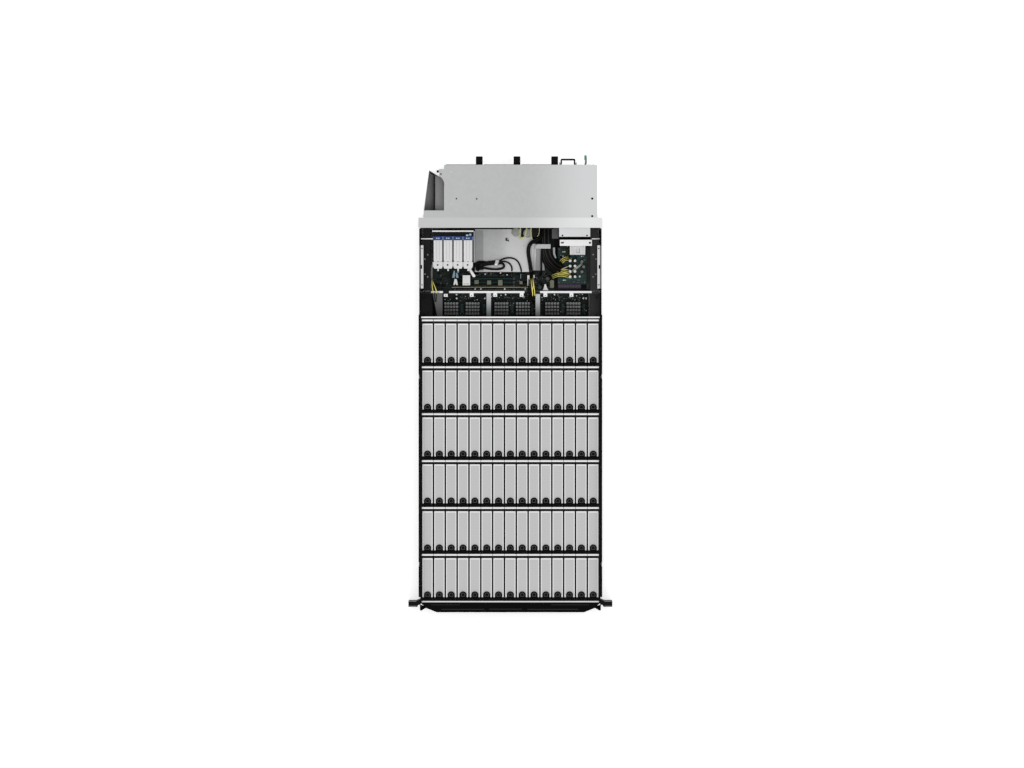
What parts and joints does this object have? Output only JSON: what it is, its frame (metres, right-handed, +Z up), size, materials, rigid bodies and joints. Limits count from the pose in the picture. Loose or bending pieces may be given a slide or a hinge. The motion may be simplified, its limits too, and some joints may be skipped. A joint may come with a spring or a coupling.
{
  "type": "rackmount storage server",
  "caption": "Top-loading rackmount storage server with its cover off: rows of upright drives with lever handles, an electronics compartment, and pull-out fans and power supplies.",
  "frame": {"origin": "under the middle of the whole outline, on the surface it rests on", "axes": "+X right seen from the front, +Y from the front to the rear, +Z up"},
  "size_m": [0.4826, 1.0816, 0.175],
  "materials": {
    "galvanised_steel": "galvanised sheet, fine spangle",
    "black_steel": "black powder coat",
    "white_steel": "light satin coat",
    "black_plastic": "moulded, fine texture",
    "bail_steel": "black coated bar",
    "silver_aluminium": "satin, fine perforation",
    "drive_casting": "cast",
    "green_board": "solder mask",
    "light_plastic": "moulded",
    "supply_steel": "plated sheet",
    "green_plastic": "moulded",
    "black_cable": "sheathed bundle",
    "yellow_cable": "insulated wires"
  },
  "bodies": {
    "chassis": {"chassis_base": "galvanised_steel", "side_walls": "black_steel", "front_wall": "white_steel", "inner_rails": "black_steel", "cover_cross_brace": "galvanised_steel", "front_bezel": "black_plastic", "rack_ears": "black_plastic", "bay_crossbars": "white_steel", "drive_backplanes": "green_board", "midplane_board": "green_board", "midplane_connectors": "light_plastic", "midplane_brackets": "galvanised_steel", "support_rails": "white_steel", "motherboard": "green_board", "cpu_heatsinks": "silver_aluminium", "memory_modules": "green_board", "expansion_cards": "green_board", "card_guides": "light_plastic", "baffle_plate": "galvanised_steel", "compartment_walls": "black_steel", "power_board": "green_board", "power_plugs": "light_plastic", "power_bracket": "white_steel", "black_cables": "black_cable", "yellow_wires": "yellow_cable", "rear_panel": "galvanised_steel", "rear_cover": "galvanised_steel", "rear_partitions": "galvanised_steel", "rear_ports": "supply_steel"},
    "power_button": {"power_button": "black_plastic"},
    "drives_row_1": {"drives_row_1": "drive_casting"},
    "drive_handles_row_1": {"drive_handles_row_1": "silver_aluminium"},
    "drive_latches_row_1": {"drive_latches_row_1": "black_plastic"},
    "drives_row_2": {"drives_row_2": "drive_casting"},
    "drive_handles_row_2": {"drive_handles_row_2": "silver_aluminium"},
    "drive_latches_row_2": {"drive_latches_row_2": "black_plastic"},
    "drives_row_3": {"drives_row_3": "drive_casting"},
    "drive_handles_row_3": {"drive_handles_row_3": "silver_aluminium"},
    "drive_latches_row_3": {"drive_latches_row_3": "black_plastic"},
    "drives_row_4": {"drives_row_4": "drive_casting"},
    "drive_handles_row_4": {"drive_handles_row_4": "silver_aluminium"},
    "drive_latches_row_4": {"drive_latches_row_4": "black_plastic"},
    "drives_row_5": {"drives_row_5": "drive_casting"},
    "drive_handles_row_5": {"drive_handles_row_5": "silver_aluminium"},
    "drive_latches_row_5": {"drive_latches_row_5": "black_plastic"},
    "drives_row_6": {"drives_row_6": "drive_casting"},
    "drive_handles_row_6": {"drive_handles_row_6": "silver_aluminium"},
    "drive_latches_row_6": {"drive_latches_row_6": "black_plastic"},
    "fan_module_1": {"fan_module_1": "black_plastic"},
    "fan_rotor_1": {"fan_rotor_1": "black_plastic"},
    "fan_module_2": {"fan_module_2": "black_plastic"},
    "fan_rotor_2": {"fan_rotor_2": "black_plastic"},
    "fan_module_3": {"fan_module_3": "black_plastic"},
    "fan_rotor_3": {"fan_rotor_3": "black_plastic"},
    "power_supply_1": {"power_supply_1": "supply_steel"},
    "supply_bail_1": {"supply_bail_1": "bail_steel"},
    "supply_lever_1": {"supply_lever_1": "green_plastic"},
    "power_supply_2": {"power_supply_2": "supply_steel"},
    "supply_bail_2": {"supply_bail_2": "bail_steel"},
    "supply_lever_2": {"supply_lever_2": "green_plastic"}
  },
  "joints": [
    {"name": "power_button_press", "type": "slide", "parent": "chassis", "child": "power_button", "axis": [0, 1, 0], "range_m": [0, 0.0015], "stiffness_N_per_m": 400},
    {"name": "drive_lift_1", "type": "slide", "parent": "chassis", "child": "drives_row_1", "axis": [0, 0, 1], "range_m": [0, 0.156]},
    {"name": "handle_open_1", "type": "hinge", "parent": "drives_row_1", "child": "drive_handles_row_1", "pos_m": [0, -0.41135, 0.1631], "axis": [-1, 0, 0], "range_deg": [0, 70]},
    {"name": "latch_slide_1", "type": "slide", "parent": "drive_handles_row_1", "child": "drive_latches_row_1", "axis": [0, 1, 0], "range_m": [0, 0.003], "stiffness_N_per_m": 300},
    {"name": "drive_lift_2", "type": "slide", "parent": "chassis", "child": "drives_row_2", "axis": [0, 0, 1], "range_m": [0, 0.156]},
    {"name": "handle_open_2", "type": "hinge", "parent": "drives_row_2", "child": "drive_handles_row_2", "pos_m": [0, -0.30035, 0.1631], "axis": [-1, 0, 0], "range_deg": [0, 70]},
    {"name": "latch_slide_2", "type": "slide", "parent": "drive_handles_row_2", "child": "drive_latches_row_2", "axis": [0, 1, 0], "range_m": [0, 0.003], "stiffness_N_per_m": 300},
    {"name": "drive_lift_3", "type": "slide", "parent": "chassis", "child": "drives_row_3", "axis": [0, 0, 1], "range_m": [0, 0.156]},
    {"name": "handle_open_3", "type": "hinge", "parent": "drives_row_3", "child": "drive_handles_row_3", "pos_m": [0, -0.18935, 0.1631], "axis": [-1, 0, 0], "range_deg": [0, 70]},
    {"name": "latch_slide_3", "type": "slide", "parent": "drive_handles_row_3", "child": "drive_latches_row_3", "axis": [0, 1, 0], "range_m": [0, 0.003], "stiffness_N_per_m": 300},
    {"name": "drive_lift_4", "type": "slide", "parent": "chassis", "child": "drives_row_4", "axis": [0, 0, 1], "range_m": [0, 0.156]},
    {"name": "handle_open_4", "type": "hinge", "parent": "drives_row_4", "child": "drive_handles_row_4", "pos_m": [0, -0.07835, 0.1631], "axis": [-1, 0, 0], "range_deg": [0, 70]},
    {"name": "latch_slide_4", "type": "slide", "parent": "drive_handles_row_4", "child": "drive_latches_row_4", "axis": [0, 1, 0], "range_m": [0, 0.003], "stiffness_N_per_m": 300},
    {"name": "drive_lift_5", "type": "slide", "parent": "chassis", "child": "drives_row_5", "axis": [0, 0, 1], "range_m": [0, 0.156]},
    {"name": "handle_open_5", "type": "hinge", "parent": "drives_row_5", "child": "drive_handles_row_5", "pos_m": [0, 0.03265, 0.1631], "axis": [-1, 0, 0], "range_deg": [0, 70]},
    {"name": "latch_slide_5", "type": "slide", "parent": "drive_handles_row_5", "child": "drive_latches_row_5", "axis": [0, 1, 0], "range_m": [0, 0.003], "stiffness_N_per_m": 300},
    {"name": "drive_lift_6", "type": "slide", "parent": "chassis", "child": "drives_row_6", "axis": [0, 0, 1], "range_m": [0, 0.156]},
    {"name": "handle_open_6", "type": "hinge", "parent": "drives_row_6", "child": "drive_handles_row_6", "pos_m": [0, 0.14365, 0.1631], "axis": [-1, 0, 0], "range_deg": [0, 70]},
    {"name": "latch_slide_6", "type": "slide", "parent": "drive_handles_row_6", "child": "drive_latches_row_6", "axis": [0, 1, 0], "range_m": [0, 0.003], "stiffness_N_per_m": 300},
    {"name": "fan_pull_1", "type": "slide", "parent": "chassis", "child": "fan_module_1", "axis": [0, 1, 0], "range_m": [0, 0.11]},
    {"name": "fan_spin_1", "type": "hinge", "parent": "fan_module_1", "child": "fan_rotor_1", "pos_m": [-0.1095, 0.49985, 0.131], "axis": [0, 1, 0], "continuous": true},
    {"name": "fan_pull_2", "type": "slide", "parent": "chassis", "child": "fan_module_2", "axis": [0, 1, 0], "range_m": [0, 0.11]},
    {"name": "fan_spin_2", "type": "hinge", "parent": "fan_module_2", "child": "fan_rotor_2", "pos_m": [-0.0202, 0.49985, 0.131], "axis": [0, 1, 0], "continuous": true},
    {"name": "fan_pull_3", "type": "slide", "parent": "chassis", "child": "fan_module_3", "axis": [0, 1, 0], "range_m": [0, 0.11]},
    {"name": "fan_spin_3", "type": "hinge", "parent": "fan_module_3", "child": "fan_rotor_3", "pos_m": [0.0691, 0.49985, 0.131], "axis": [0, 1, 0], "continuous": true},
    {"name": "supply_pull_1", "type": "slide", "parent": "chassis", "child": "power_supply_1", "axis": [0, 1, 0], "range_m": [0, 0.18]},
    {"name": "bail_swing_1", "type": "hinge", "parent": "power_supply_1", "child": "supply_bail_1", "pos_m": [0.13535, 0.52087, 0.109], "axis": [-1, 0, 0], "range_deg": [0, 80]},
    {"name": "lever_press_1", "type": "hinge", "parent": "power_supply_1", "child": "supply_lever_1", "pos_m": [0.17785, 0.5111, 0.109], "axis": [0, 0, 1], "range_deg": [0, 8], "stiffness_Nm_per_rad": 0.2},
    {"name": "supply_pull_2", "type": "slide", "parent": "chassis", "child": "power_supply_2", "axis": [0, 1, 0], "range_m": [0, 0.18]},
    {"name": "bail_swing_2", "type": "hinge", "parent": "power_supply_2", "child": "supply_bail_2", "pos_m": [0.13535, 0.52087, 0.15], "axis": [-1, 0, 0], "range_deg": [0, 80]},
    {"name": "lever_press_2", "type": "hinge", "parent": "power_supply_2", "child": "supply_lever_2", "pos_m": [0.17785, 0.5111, 0.15], "axis": [0, 0, 1], "range_deg": [0, 8], "stiffness_Nm_per_rad": 0.2}
  ]
}
